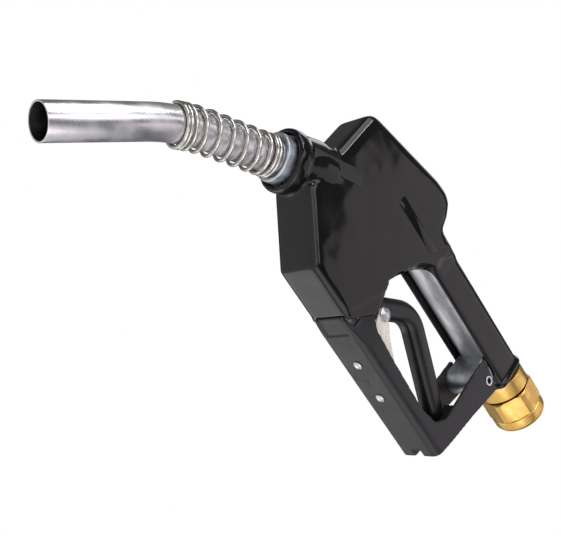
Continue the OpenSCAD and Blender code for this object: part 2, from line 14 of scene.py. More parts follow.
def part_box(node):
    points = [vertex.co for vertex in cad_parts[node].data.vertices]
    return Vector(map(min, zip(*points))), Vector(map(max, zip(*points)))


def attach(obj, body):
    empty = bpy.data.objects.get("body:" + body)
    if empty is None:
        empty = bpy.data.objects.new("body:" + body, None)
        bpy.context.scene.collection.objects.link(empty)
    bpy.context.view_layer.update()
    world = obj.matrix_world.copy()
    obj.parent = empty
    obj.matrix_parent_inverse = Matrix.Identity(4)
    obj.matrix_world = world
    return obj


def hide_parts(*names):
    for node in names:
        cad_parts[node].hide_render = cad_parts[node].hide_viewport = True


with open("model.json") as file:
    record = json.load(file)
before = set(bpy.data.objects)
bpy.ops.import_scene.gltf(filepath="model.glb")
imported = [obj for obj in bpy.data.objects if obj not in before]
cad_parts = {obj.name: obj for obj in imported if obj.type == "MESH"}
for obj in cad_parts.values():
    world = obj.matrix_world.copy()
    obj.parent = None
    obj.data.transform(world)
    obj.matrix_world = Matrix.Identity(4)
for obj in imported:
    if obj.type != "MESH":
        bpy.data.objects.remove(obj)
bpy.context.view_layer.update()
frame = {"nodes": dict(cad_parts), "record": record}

MM = 0.001
record = frame["record"]
joints = {joint["name"]: joint for joint in record["behaviour"]["joints"]}
mounts = {mount["name"]: mount for mount in record["mounts"]}


def box_mm(node):
    """Lowest and highest corner of a CAD node, in millimetres."""
    low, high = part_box(node)
    return low / MM, high / MM


def middle_mm(node):
    """Middle of a CAD node's box, in millimetres."""
    low, high = box_mm(node)
    return (low + high) / 2


# ---------- places, from the frame ----------

ROOT_DIRECTION = Vector(joints["check_slide"]["axis"]).normalized()
TIP_DIRECTION = Vector(mounts["spout"]["axis"]).normalized()
SEAL_DEPTH = 13.9
NECK_MOUTH = middle_mm("spout_seal") + SEAL_DEPTH * ROOT_DIRECTION
BEND_DEG = math.degrees(ROOT_DIRECTION.angle(TIP_DIRECTION))
SPOUT_R = mounts["spout"]["dims"]["r_mm"]
SPOUT_STRAIGHT = mounts["spout"]["dims"]["length_mm"]
LEVER_PIVOT = Vector(joints["lever_hinge"]["pos_m"]) / MM
LATCH_PIVOT = Vector(joints["latch_hinge"]["pos_m"]) / MM
THREAD_R = mounts["inlet_thread"]["dims"]["r_mm"]
THREAD_DEPTH = mounts["inlet_thread"]["dims"]["length_mm"]
HANDLE_END = box_mm("hand_cover")[1].x
GUARD_PIN = middle_mm("guard_pin")
ADAPTER_BACK, ADAPTER_FRONT = (corner.x for corner in box_mm("inlet_adapter"))

# The spout's root: +Z outward along it, +X up and forward, +Y across
ROOT_FRAME = Matrix((
    (ROOT_DIRECTION.z, 0, ROOT_DIRECTION.x, NECK_MOUTH.x),
    (0, 1, 0, 0),
    (-ROOT_DIRECTION.x, 0, ROOT_DIRECTION.z, NECK_MOUTH.z),
    (0, 0, 0, 1),
))
# The handle's line: +Z towards the inlet's mouth, +X down
INLET_FRAME = Matrix.Rotation(math.radians(90), 4, "Y")
# A side outline, drawn in X and Z, laid across the nozzle
ACROSS = Matrix(((1, 0, 0, 0), (0, 0, 1, 0), (0, 1, 0, 0), (0, 0, 0, 1)))
UPRIGHT = Matrix.Identity(4)


def across(x, z):
    """A round piece's frame with its axis across the nozzle, through (x, z)."""
    return Matrix.Translation((x, 0, z)) @ Matrix.Rotation(math.radians(90), 4, "X")


LEVER_AXIS = across(LEVER_PIVOT.x, LEVER_PIVOT.z)
LATCH_AXIS = across(LATCH_PIVOT.x, LATCH_PIVOT.z)
PIN_AXIS = across(GUARD_PIN.x, GUARD_PIN.z)


# ---------- shapes ----------

# A corner's arc takes at most this much of each side beside it, and a straighter corner gets none
SIDE_SHARE = 0.49
STRAIGHT_DEG = 89.5
# Points closer than this are one
MERGE_MM = 0.002


def rounded(corners, closed=True, step=11.0):
    """Points of an outline whose corners are (a, b, radius), with each corner made an arc."""
    points = []
    last = len(corners) - 1
    for i, (a, b, radius) in enumerate(corners):
        here = Vector((a, b))
        if radius == 0 or (not closed and i in (0, last)):
            points.append(here)
            continue
        before = Vector(corners[i - 1][:2]) - here
        after = Vector(corners[(i + 1) % (last + 1)][:2]) - here
        room = SIDE_SHARE * min(before.length, after.length)
        before.normalize()
        after.normalize()
        half = before.angle(after) / 2
        if half > math.radians(STRAIGHT_DEG):
            points.append(here)
            continue
        reach = min(radius / math.tan(half), room)
        centre = here + (before + after).normalized() * (reach / math.cos(half))
        start = here + before * reach - centre
        end = here + after * reach - centre
        turn = math.atan2(start.x * end.y - start.y * end.x, start.dot(end))
        steps = max(1, round(abs(math.degrees(turn)) / step))
        for k in range(steps + 1):
            part = turn * k / steps
            points.append(centre + Vector((
                start.x * math.cos(part) - start.y * math.sin(part),
                start.x * math.sin(part) + start.y * math.cos(part),
            )))
    return points


def both_sides(corners):
    """An outline from its (a, b, radius) corners on one side of b = 0, with their mirror on the other."""
    near = [(a, -b, radius) for a, b, radius in corners]
    return near + list(reversed(corners))


def ring(radius, count, a=0.0, b=0.0):
    """A round outline about (a, b)."""
    turns = [math.tau * k / count for k in range(count)]
    return [(a + radius * math.cos(turn), b + radius * math.sin(turn), 0) for turn in turns]


def outward(bm):
    """The shape with its faces turned outward."""
    bm.normal_update()
    bmesh.ops.recalc_face_normals(bm, faces=bm.faces)
    closed = all(e.is_manifold for e in bm.edges)
    if closed and bm.calc_volume(signed=True) < 0:
        bmesh.ops.reverse_faces(bm, faces=bm.faces)
    return bm


def block(corners, low, high, rim=0.0, rim_steps=4, place=ACROSS):
    """A closed prism over an outline, from low to high, with both its rims rounded."""
    bm = bmesh.new()
    base = bm.faces.new([bm.verts.new((p.x, p.y, low)) for p in rounded(corners)])
    made = bmesh.ops.extrude_face_region(bm, geom=[base])
    top = [v for v in made["geom"] if isinstance(v, bmesh.types.BMVert)]
    bmesh.ops.translate(bm, vec=(0, 0, high - low), verts=top)
    if rim:
        rims = [e for e in bm.edges if abs(e.verts[0].co.z - e.verts[1].co.z) < 1e-6]
        bmesh.ops.bevel(bm, geom=rims, offset=rim, segments=rim_steps, profile=0.5,
                        affect="EDGES", material=-1, clamp_overlap=False)
    bm.transform(place)
    return outward(bm)


def turned(profile, place, closed=False, steps=96):
    """A profile of (radius from the axis, height, corner radius) spun round the place's Z."""
    bm = bmesh.new()
    verts = [bm.verts.new((p.x, 0, p.y)) for p in rounded(profile, closed)]
    edges = [bm.edges.new(pair) for pair in zip(verts, verts[1:])]
    if closed:
        edges.append(bm.edges.new((verts[-1], verts[0])))
    bmesh.ops.spin(bm, geom=verts + edges, cent=(0, 0, 0), axis=(0, 0, 1), dvec=(0, 0, 0),
                   angle=math.tau, steps=steps, use_merge=True)
    bmesh.ops.remove_doubles(bm, verts=bm.verts, dist=MERGE_MM)
    bm.transform(place)
    return outward(bm)


def rod(radius, low, high, place, steps=32):
    """A plain cylinder along the place's Z."""
    return turned([(0, low, 0), (radius, low, 0), (radius, high, 0), (0, high, 0)], place, steps=steps)


def carried(section, moves, place, turn_steps=4.0, capped=True):
    """A closed section carried from the place along its Z. Each move goes ("on", length), turns towards
    the place's -X as ("turn", radius, degrees), or narrows as ("to", length, scale)."""
    bm = bmesh.new()
    verts = [bm.verts.new((p.x, p.y, 0)) for p in rounded(section)]
    loop = [bm.edges.new(pair) for pair in zip(verts, verts[1:] + verts[:1])]
    first = list(loop)
    at = Matrix.Identity(4)
    for kind, *sizes in moves:
        if kind == "turn":
            radius, degrees = sizes
            side = math.copysign(radius, degrees)
            centre = at @ Vector((-side, 0, 0))
            angle = -math.radians(degrees)
            axis = at.to_3x3() @ Vector((0, 1, 0))
            steps = max(2, round(abs(degrees) / turn_steps))
            made = bmesh.ops.spin(bm, geom=loop + [v for e in loop for v in e.verts][::2], cent=centre,
                                  axis=axis, dvec=(0, 0, 0), angle=angle, steps=steps)
            loop = [e for e in made["geom_last"] if isinstance(e, bmesh.types.BMEdge)]
            swing = Matrix.Rotation(angle, 4, axis)
            at = Matrix.Translation(centre) @ swing @ Matrix.Translation(-centre) @ at
            continue
        made = bmesh.ops.extrude_edge_only(bm, edges=loop)
        loop = [e for e in made["geom"] if isinstance(e, bmesh.types.BMEdge)
                and all(v in made["geom"] for v in e.verts)]
        ends = {v for e in loop for v in e.verts}
        if kind == "to":
            bmesh.ops.scale(bm, vec=(sizes[1],) * 3, space=at.inverted(), verts=list(ends))
        bmesh.ops.translate(bm, vec=at.to_3x3() @ Vector((0, 0, sizes[0])), verts=list(ends))
        at = at @ Matrix.Translation((0, 0, sizes[0]))
    if capped:
        for ring in (first, loop):
            bmesh.ops.contextual_create(bm, geom=ring)
    bmesh.ops.remove_doubles(bm, verts=bm.verts, dist=MERGE_MM)
    bm.transform(place)
    return outward(bm)


def coil(radius, wire_r, stretches, place, bow_from, bow_r, wire_sides=12, quarter_steps=9):
    """Round wire wound about the place's Z, in stretches of (pitch, turns). Past bow_from its axis follows
    a bend towards the place's -X."""
    bm = bmesh.new()
    made = bmesh.ops.create_circle(bm, cap_ends=False, segments=wire_sides, radius=wire_r)
    upright = Matrix.Rotation(math.radians(90), 3, "X")
    bmesh.ops.rotate(bm, cent=(0, 0, 0), matrix=upright, verts=made["verts"])
    bmesh.ops.translate(bm, vec=(radius, 0, 0), verts=made["verts"])
    loop = list(bm.edges)
    first = list(loop)
    at = Matrix.Identity(4)
    height = 0.0
    for pitch, turns in stretches:
        for _ in range(round(4 * turns)):
            climb = pitch / 4
            turn = at.to_3x3()
            verts = list({v for e in loop for v in e.verts})
            made = bmesh.ops.spin(bm, geom=verts + loop, cent=at.translation, axis=turn @ Vector((0, 0, 1)),
                                  dvec=turn @ Vector((0, 0, climb / quarter_steps)), angle=math.tau / 4,
                                  steps=quarter_steps)
            loop = [e for e in made["geom_last"] if isinstance(e, bmesh.types.BMEdge)]
            height += climb
            at = at @ Matrix.Translation((0, 0, climb))
            if height > bow_from:
                at = at @ Matrix.Rotation(-climb / bow_r, 4, "Y")
    for ring in (first, loop):
        bmesh.ops.contextual_create(bm, geom=ring)
    bm.transform(place)
    return outward(bm)


def joined(*parts):
    """Several closed shapes as one mesh."""
    bm = bmesh.new()
    for part in parts:
        mesh = bpy.data.meshes.new("part")
        part.to_mesh(mesh)
        part.free()
        bm.from_mesh(mesh)
        bpy.data.meshes.remove(mesh)
    return bm


def shape_object(bm):
    """A shape as an object that modifiers can work on."""
    mesh = bpy.data.meshes.new("shape")
    bm.to_mesh(mesh)
    bm.free()
    obj = bpy.data.objects.new("shape", mesh)
    bpy.context.scene.collection.objects.link(obj)
    return obj


def carved(shapes, cuts=(), limits=(), unions=(), melt=0.0, melted_cuts=(), passes=0):
    """Shapes less the cuts, kept inside the limits, then with the unions added. With a melt, the shapes
    are first run together with soft corners of about that size, and so are the melted cuts, before they
    are taken away. The passes smooth the result."""
    made = shape_object(joined(*shapes))
    if melt:
        made.modifiers.new("melt", "REMESH").mode = "VOXEL"
        made.modifiers["melt"].voxel_size = melt
    tools = [(shape_object(cut), "DIFFERENCE") for cut in cuts]
    tools += [(shape_object(limit), "INTERSECT") for limit in limits]
    tools += [(shape_object(union), "UNION") for union in unions]
    for soft in melted_cuts:
        cutter = shape_object(joined(*soft))
        cutter.modifiers.new("melt", "REMESH").mode = "VOXEL"
        cutter.modifiers["melt"].voxel_size = melt
        tools.append((cutter, "DIFFERENCE"))
    for tool, operation in tools:
        step = made.modifiers.new("step", "BOOLEAN")
        step.operation = operation
        step.solver = "MANIFOLD"
        step.object = tool
    if melt:
        made.modifiers.new("even", "REMESH").mode = "VOXEL"
        made.modifiers["even"].voxel_size = melt
    bpy.context.view_layer.update()
    result = made.evaluated_get(bpy.context.evaluated_depsgraph_get())
    bm = bmesh.new()
    bm.from_mesh(result.to_mesh())
    result.to_mesh_clear()
    for obj in [made, *(tool for tool, _ in tools)]:
        mesh = obj.data
        bpy.data.objects.remove(obj)
        bpy.data.meshes.remove(mesh)
    for _ in range(passes):
        bmesh.ops.smooth_vert(bm, verts=bm.verts, factor=0.5, use_axis_x=True, use_axis_y=True,
                              use_axis_z=True)
    return bm


def piece(name, bm, body, surface, nodes=(), sharp_deg=35.0):
    """A finished piece: in metres, smooth between its sharp edges, riding on its body."""
    bmesh.ops.scale(bm, vec=(MM, MM, MM), verts=bm.verts)
    mesh = bpy.data.meshes.new(name)
    bm.to_mesh(mesh)
    bm.free()
    for one in surface if isinstance(surface, tuple) else (surface,):
        mesh.materials.append(one)
    mesh.shade_smooth()
    mesh.set_sharp_from_angle(angle=math.radians(sharp_deg))
    obj = bpy.data.objects.new(name, mesh)
    bpy.context.scene.collection.objects.link(obj)
    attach(obj, body)
    if nodes:
        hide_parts(*nodes)
    return obj


# ---------- surfaces ----------

def to_linear(colour):
    """An sRGB hex colour as linear RGBA."""
    parts = [int(colour[i:i + 2], 16) / 255 for i in (1, 3, 5)]
    return [c / 12.92 if c <= 0.04045 else ((c + 0.055) / 1.055) ** 2.4 for c in parts] + [1.0]


def add(tree, kind, settings=None, links=None):
    """Adds a node. Settings are its own properties or its sockets' values, and links feed its sockets."""
    made = tree.nodes.new(kind)
    for key, value in (settings or {}).items():
        if isinstance(key, str) and hasattr(made, key):
            setattr(made, key, value)
        else:
            made.inputs[key].default_value = value
    for key, source in (links or {}).items():
        tree.links.new(source, made.inputs[key])
    return made


def start_surface(name, **settings):
    """A material with its shader and the piece's own coordinates: (material, tree, shader, position)."""
    material = bpy.data.materials.new(name)
    material.use_nodes = True
    tree = material.node_tree
    tree.nodes.clear()
    shader = add(tree, "ShaderNodeBsdfPrincipled", settings)
    add(tree, "ShaderNodeOutputMaterial", links={"Surface": shader.outputs["BSDF"]})
    position = add(tree, "ShaderNodeTexCoord").outputs["Object"]
    return material, tree, shader, position


def per_m(size_mm):
    """A noise scale whose grains are that many millimetres across."""
    return 1 / (size_mm * MM)


def grain(tree, position, size_mm, detail=3.0, stretch=None, turn=(0, 0, 0)):
    """Noise with grains of a real size, drawn out along the stretch."""
    if stretch:
        position = add(tree, "ShaderNodeMapping", {"Scale": stretch, "Rotation": turn},
                       {"Vector": position}).outputs["Vector"]
    return add(tree, "ShaderNodeTexNoise", {"Scale": per_m(size_mm), "Detail": detail},
               {"Vector": position}).outputs["Fac"]


def ramp(tree, source, stops):
    """Colours along a source, given as (place, hex colour)."""
    made = add(tree, "ShaderNodeValToRGB", links={"Fac": source})
    elements = made.color_ramp.elements
    while len(elements) < len(stops):
        elements.new(0.5)
    for element, (place, colour) in zip(elements, stops):
        element.position = place
        element.color = to_linear(colour)
    return made.outputs["Color"]


def between(tree, source, low, high, from_low=0.3, from_high=0.7):
    """A number that follows a source, from low to high."""
    ends = {"From Min": from_low, "From Max": from_high, "To Min": low, "To Max": high}
    return add(tree, "ShaderNodeMapRange", ends, {"Value": source}).outputs["Result"]


def bumps(tree, shader, *layers):
    """Relief from (source, height in mm) layers."""
    normal = None
    for source, height_mm in layers:
        made = add(tree, "ShaderNodeBump", {"Strength": 1.0, "Distance": height_mm * MM}, {"Height": source})
        if normal:
            tree.links.new(normal, made.inputs["Normal"])
        normal = made.outputs["Normal"]
    tree.links.new(normal, shader.inputs["Normal"])


def dipped_vinyl():
    """Dip-moulded black vinyl: a wet gloss with wandering reflections and a faint haze of handling."""
    material, tree, shader, at = start_surface("dipped_vinyl_gloss_black", IOR=1.42)
    sag = grain(tree, at, 34, 1.0)
    orange_peel = grain(tree, at, 3.2, 2.0)
    haze = grain(tree, at, 13, 4.0)
    tree.links.new(ramp(tree, haze, [(0.3, "#050506"), (0.7, "#0A090A")]), shader.inputs["Base Color"])
    tree.links.new(between(tree, haze, 0.05, 0.12), shader.inputs["Roughness"])
    bumps(tree, shader, (sag, 0.9), (orange_peel, 0.006))
    return material


def strip_vinyl():
    """The same vinyl where a plate in the mould left it matte: dark grey, even and dull."""
    material, tree, shader, at = start_surface("moulded_vinyl_matte_strip")
    tooth = grain(tree, at, 0.9, 3.0)
    cloud = grain(tree, at, 9)
    tree.links.new(ramp(tree, cloud, [(0.3, "#1B1B1D"), (0.7, "#242427")]), shader.inputs["Base Color"])
    tree.links.new(between(tree, tooth, 0.42, 0.58), shader.inputs["Roughness"])
    bumps(tree, shader, (tooth, 0.02))
    return material


def coated(name, colours, worn, rough_low, rough_high, wear_from, wear_to):
    """Black baked coating on metal: fine orange peel, rubbed paler where an edge stands out."""
    material, tree, shader, at = start_surface(name, IOR=1.48)
    peel = grain(tree, at, 1.6, 3.0)
    patch = grain(tree, at, 14, 4.0)
    edge = add(tree, "ShaderNodeNewGeometry").outputs["Pointiness"]
    ragged = add(tree, "ShaderNodeMath", {"operation": "MULTIPLY_ADD", 1: 0.05, 2: -0.025},
                 {0: grain(tree, at, 2.4, 5.0)}).outputs["Value"]
    wear = add(tree, "ShaderNodeMath", {"operation": "ADD"}, {0: edge, 1: ragged}).outputs["Value"]
    worn_by = between(tree, wear, 0.0, 1.0, wear_from, wear_to)
    base = ramp(tree, patch, [(0.3, colours[0]), (0.7, colours[1])])
    mix = add(tree, "ShaderNodeMix", {"data_type": "RGBA", 7: to_linear(worn)}, {0: worn_by, 6: base})
    tree.links.new(mix.outputs[2], shader.inputs["Base Color"])
    tree.links.new(between(tree, patch, rough_low, rough_high), shader.inputs["Roughness"])
    bumps(tree, shader, (peel, 0.02))
    return material


def cast_aluminium():
    """Die-cast aluminium left as cast: dull, with pale and dark flow patches and a fine sandy skin."""
    material, tree, shader, at = start_surface("die_cast_aluminium", Metallic=1.0)
    flow = grain(tree, at, 9, 6.0, stretch=(0.45, 1.0, 1.0))
    sand = grain(tree, at, 0.7, 2.0)
    tree.links.new(ramp(tree, flow, [(0.25, "#8A8C90"), (0.5, "#ABADB1"), (0.75, "#CFD0D2")]),
                   shader.inputs["Base Color"])
    tree.links.new(between(tree, flow, 0.52, 0.36), shader.inputs["Roughness"])
    bumps(tree, shader, (flow, 0.25), (sand, 0.04))
    return material


def drawn_aluminium():
    """Drawn and polished aluminium tube: bright, with fine lines lengthwise and a few smears."""
    material, tree, shader, at = start_surface("drawn_aluminium_tube", Metallic=1.0)
    turn = (0, -math.atan2(-TIP_DIRECTION.z, -TIP_DIRECTION.x), 0)
    lines = grain(tree, at, 0.9, 4.0, stretch=(0.03, 1.0, 1.0), turn=turn)
    smears = grain(tree, at, 12, 3.0, stretch=(0.35, 1.0, 1.0), turn=turn)
    tree.links.new(ramp(tree, smears, [(0.3, "#D2D0D4"), (0.7, "#EAE8EB")]), shader.inputs["Base Color"])
    tree.links.new(between(tree, smears, 0.22, 0.36), shader.inputs["Roughness"])
    bumps(tree, shader, (lines, 0.02))
    return material


def plated(name, colours, rough_low, rough_high, patch_mm=5.0):
    """Zinc plate on steel: a soft shine with faint cloudy patches."""
    material, tree, shader, at = start_surface(name, Metallic=1.0)
    cloud = grain(tree, at, patch_mm, 4.0)
    tree.links.new(ramp(tree, cloud, [(0.3, colours[0]), (0.7, colours[1])]), shader.inputs["Base Color"])
    tree.links.new(between(tree, cloud, rough_low, rough_high), shader.inputs["Roughness"])
    bumps(tree, shader, (grain(tree, at, 0.8, 2.0), 0.008))
    return material


def turned_brass(name, stretch, tool_mm):
    """Turned brass: satin gold, with the tool's fine rings and a faint uneven tarnish."""
    material, tree, shader, at = start_surface(name, Metallic=1.0)
    rings = grain(tree, at, tool_mm, 2.0, stretch=stretch)
    tarnish = grain(tree, at, 9, 3.0)
    tree.links.new(ramp(tree, tarnish, [(0.3, "#DDB05A"), (0.7, "#EFC878")]), shader.inputs["Base Color"])
    tree.links.new(between(tree, tarnish, 0.34, 0.26), shader.inputs["Roughness"])
    bumps(tree, shader, (rings, 0.006))
    return material


def tube_bore():
    """Inside of the spout: dull aluminium painted near black as the shade inside the tube, in uneven
    patches.
    """
    material, tree, shader, at = start_surface("bore_painted_shade", Metallic=1.0)
    stain = grain(tree, at, 6, 4.0)
    # Near-black colours: painted shade inside the tube, varied in uneven patches
    tree.links.new(ramp(tree, stain, [(0.3, "#2C2B2C"), (0.7, "#454344")]), shader.inputs["Base Color"])
    tree.links.new(between(tree, stain, 0.45, 0.6), shader.inputs["Roughness"])
    bumps(tree, shader, (stain, 0.02))
    return material


def dull(name, colours, grain_mm, rough_low, rough_high, relief_mm):
    """A non-metal with a fine tooth, such as seal rubber or packing."""
    material, tree, shader, at = start_surface(name)
    tooth = grain(tree, at, grain_mm, 3.0)
    tree.links.new(ramp(tree, tooth, [(0.3, colours[0]), (0.7, colours[1])]), shader.inputs["Base Color"])
    tree.links.new(between(tree, tooth, rough_low, rough_high), shader.inputs["Roughness"])
    bumps(tree, shader, (tooth, relief_mm))
    return material


VINYL = dipped_vinyl()
STRIP = strip_vinyl()
GUARD_COAT = coated("baked_coating_guard", ("#0E0E10", "#17171A"), "#5A5A5E", 0.36, 0.50, 0.53, 0.60)
LEVER_COAT = coated("baked_coating_lever", ("#0B0B0C", "#131315"), "#34343A", 0.26, 0.38, 0.53, 0.62)
CAST = cast_aluminium()
TUBE = drawn_aluminium()
BORE = tube_bore()
ZINC = plated("zinc_plate_blue_grey", ("#A9B2BA", "#C4CBD0"), 0.30, 0.42)
WIRE = plated("drawn_spring_wire", ("#B5AFA3", "#DAD9D6"), 0.14, 0.26, 3.0)
RIVET = plated("formed_rivet_head", ("#B9BBBE", "#D8D9DB"), 0.22, 0.34, 2.0)
BRIGHT = plated("bright_zinc_plate", ("#A8ABAF", "#C9CBCE"), 0.22, 0.36)
GROUND = plated("ground_stainless", ("#AEB0B2", "#CFD0D1"), 0.16, 0.26)
BRASS = turned_brass("turned_brass_fitting", (1.0, 0.02, 0.02), 0.5)
SMALL_BRASS = turned_brass("turned_brass_small", (1.0, 1.0, 1.0), 0.8)
SEAL = dull("nitrile_rubber", ("#0C0C0C", "#181818"), 0.8, 0.55, 0.75, 0.02)
PACKING = dull("pressed_packing", ("#CFCABB", "#E2DECF"), 1.2, 0.5, 0.7, 0.02)
PALE_PLATE = dull("pale_plated_latch", ("#CFCBBD", "#E6E2D6"), 2.5, 0.28, 0.42, 0.01)

SLOT_SURFACES = {
    "cast_alloy": CAST,
    "cover_vinyl": VINYL,
    "spout_aluminium": TUBE,
    "brass_fine": SMALL_BRASS,
    "plated_steel": BRIGHT,
    "spring_steel": WIRE,
    "zinc_plated": ZINC,
    "seal_rubber": SEAL,
    "stainless": GROUND,
    "packing_plastic": PACKING,
    "lever_coat": LEVER_COAT,
    "latch_plating": PALE_PLATE,
    "rivet_steel": RIVET,
    "guard_coat": GUARD_COAT,
    "inlet_brass": BRASS,
}
for part in record["subparts"]:
    for slot in frame["nodes"][part["node"]].material_slots:
        slot.material = SLOT_SURFACES[part["material_slot"]]


# ---------- hand cover ----------

COVER_HALF = 19.0
WALL = 2.8
HANDLE_HALF_W, HANDLE_HALF_H = 16.5, 17.0
# Seen from the side: neck end, hump, root of the handle, throat over the lever, and sloping front below
BODY_OUTLINE = [
    (-284.6, -60, 3), (-284.6, 11.2, 3), (-282.2, 16.4, 3), (-277.5, 19.0, 4),
    (-208, 39.6, 12), (-195, 40.8, 8), (-186.4, 37.2, 8), (-179.8, 27, 12),
    (-176, 14.5, 6), (-160, 14, 0), (-160, -14, 0), (-168.5, -19.3, 5),
    (-175.2, -26.2, 8), (-184.2, -47, 14), (-190, -61, 3),
    (-198.5, -108, 2), (-242, -108, 4), (-284.6, -72.5, 4),
]
# Its lower part has tighter edges
LOWER_OUTLINE = [
    (-284.4, -55, 4), (-262, -30, 8), (-200, -30, 8), (-186, -50, 6), (-190, -61, 3), (-198.5, -108, 2),
    (-242, -108, 4), (-284.4, -72.5, 4),
]
# Flaps that hang over the guard's sides
LIP_OUTLINE = [
    (-200, -52, 3), (-190, -60.5, 3), (-184, -72, 3), (-181.5, -85.4, 1.5), (-197, -108.5, 1.5),
    (-206, -104, 3),
]
# Seen from above: where the body's sides draw in to the handle's
SHOULDER = both_sides([(-140, 15.9, 20), (-188, 18.9, 20), (-205, 18.9, 0)])


LIP_MIDDLE, LIP_HALF = 16.2, 2.0
# Thicker end of the handle
FLANGE = 4.5
# Neck with a groove behind its rolled mouth
NECK_PROFILE = [
    (0, -36, 0), (20.6, -36, 0), (21.6, -24, 4), (21.3, -9.5, 1), (20.4, -8.6, 1), (22.5, -7.2, 2),
    (22.5, 0.8, 3), (20.6, 2.4, 1), (18.6, 1.4, 1), (17.6, -0.5, 1), (17.6, -6, 0), (0, -6, 0),
]


def inward(corners, inset):
    """An outline drawn in by the inset, found from its neighbours' sides."""
    made = []
    for i, (a, b, radius) in enumerate(corners):
        before = (Vector((a, b)) - Vector(corners[i - 1][:2])).normalized()
        after = (Vector(corners[(i + 1) % len(corners)][:2]) - Vector((a, b))).normalized()
        side_before = Vector((before.y, -before.x))
        side_after = Vector((after.y, -after.x))
        lean = side_before + side_after
        step = lean * (inset / max(0.35, lean.dot(side_before)))
        made.append((a + step.x, b + step.y, max(radius - inset, 0.6)))
    return made


def handle_section(inset):
    """Half-round top and tighter bottom corners. In the inlet's frame +X is down."""
    w = HANDLE_HALF_W - inset
    h = HANDLE_HALF_H - inset
    top = 9 - inset
    bottom = max(4.2 - inset, 1.2)
    return both_sides([(-h, w, top), (h, w, bottom)])


def cover_shapes(inset):
    """The outside of the cover, or its inside when inset by the wall."""
    body = inward(BODY_OUTLINE, inset)
    lower = inward(LOWER_OUTLINE, inset)
    handle = handle_section(inset)
    half = COVER_HALF - inset
    shapes = [
        block(body, -half, half, rim=8.0 - inset, rim_steps=5),
        block(lower, -half, half, rim=4.6 - inset * 0.6, rim_steps=3),
        block(handle, -190, HANDLE_END + (4 if inset else 0), place=INLET_FRAME),
    ]
    if inset:
        return shapes + [rod(18.5, -34, -3, ROOT_FRAME, steps=64)]
    flange = [(a * 1.13, b * 1.12, radius + 2) for a, b, radius in handle]
    shapes.append(block(flange, HANDLE_END - FLANGE, HANDLE_END, rim=1.6, place=INLET_FRAME))
    shapes.append(turned(NECK_PROFILE, ROOT_FRAME, steps=64))
    shapes.append(block(SHOULDER, -16.6, 16.6, rim=6.5, place=UPRIGHT))
    for side in (-1, 1):
        middle = side * LIP_MIDDLE
        shapes.append(block(LIP_OUTLINE, middle - LIP_HALF, middle + LIP_HALF, rim=0.7, rim_steps=2))
    return shapes


# Room for the lever: over its front, and down to the cover's edge
LEVER_SLOT_HIGH = [(-256, -79, 0), (-216, -78.5, 0), (-178, -33, 3), (-150, -33, 0), (-150, -79, 0)]
LEVER_SLOT_LOW = [(-206, -105, 0), (-206, -60, 0), (-150, -60, 0), (-150, -105, 0)]
SLOT_HALF = 10.9
# The handle's underside is open, and the bare casting shows
HANDLE_SLOT = both_sides([(-170, 13.7, 12), (-58, 13.7, 5)])
cover = carved(
    cover_shapes(0),
    [
        block(LEVER_SLOT_HIGH, -SLOT_HALF, SLOT_HALF),
        block(LEVER_SLOT_LOW, -SLOT_HALF, SLOT_HALF),
        block(HANDLE_SLOT, -25, -9, place=UPRIGHT),
    ],
    melt=1.05,
    melted_cuts=[cover_shapes(WALL)],
    passes=4,
)
piece("hand_cover_vinyl", cover, "body", VINYL, ["hand_cover"], sharp_deg=60)

# Blank pads on both sides: one leans from the neck down to the body, one runs back to the handle
NECK_PAD = [(-300, -53.5, 1), (-293.5, -61.5, 1), (-254, -35, 1), (-259.5, -25, 1)]
NECK_PAD_LEAN = -0.048
NECK_PAD_MIDDLE_X = -256.0
SIDE_PAD = [(-223.5, -3, 2), (-223.5, -12, 2), (-186, -12, 2), (-177, -13, 0), (-172, -4, 0)]
for side, mark in ((-1, "right"), (1, "left")):
    slope = side * NECK_PAD_LEAN
    lean = Matrix(((1, 0, 0, 0), (slope, 1, 0, -slope * NECK_PAD_MIDDLE_X), (0, 0, 1, 0), (0, 0, 0, 1)))
    low, high = sorted((side * 17.0, side * 19.35))
    neck_pad = block(NECK_PAD, low, high, rim=0.25, rim_steps=2, place=lean @ ACROSS)
    piece(f"neck_pad_{mark}", neck_pad, "body", STRIP)
    low, high = sorted((side * 18.0, side * 19.2))
    piece(f"side_pad_{mark}", block(SIDE_PAD, low, high, rim=0.2, rim_steps=2), "body", VINYL)


# ---------- lever guard ----------

GUARD_HALF = 17.5
SHEET = 3.0
GUARD_OUTLINE = [
    (-182.6, -84.5, 1), (-200.4, -106.8, 1), (-199, -110.2, 1.5), (-67.4, -110.6, 1.8), (-63.6, -90, 30),
    (-59, -60, 0), (-52.4, -26.5, 1.5), (-55, -24.6, 1.5), (-77.8, -18.6, 1.5), (-79.4, -40, 20),
    (-79.3, -62, 20), (-79.3, -83.3, 6), (-86, -94.5, 9), (-103.7, -97.8, 8), (-149, -94.9, 20),
    (-173.3, -92.1, 6),
]
CHANNEL = [
    (-230, -107.2, 0), (-73, -107.2, 3), (-67.3, -90, 20), (-62, -50, 0), (-62, -10, 0), (-230, -10, 0),
]
FORK_OPENING = [(-95, -52, 0), (-40, -52, 0), (-40, -10, 0), (-95, -10, 0)]
CORNER_ROUND = 6.5
PIN_HOLE_R = 3.65
RIVET_AT = (-158.0, -126.5)
DIMPLE_X = -142.2


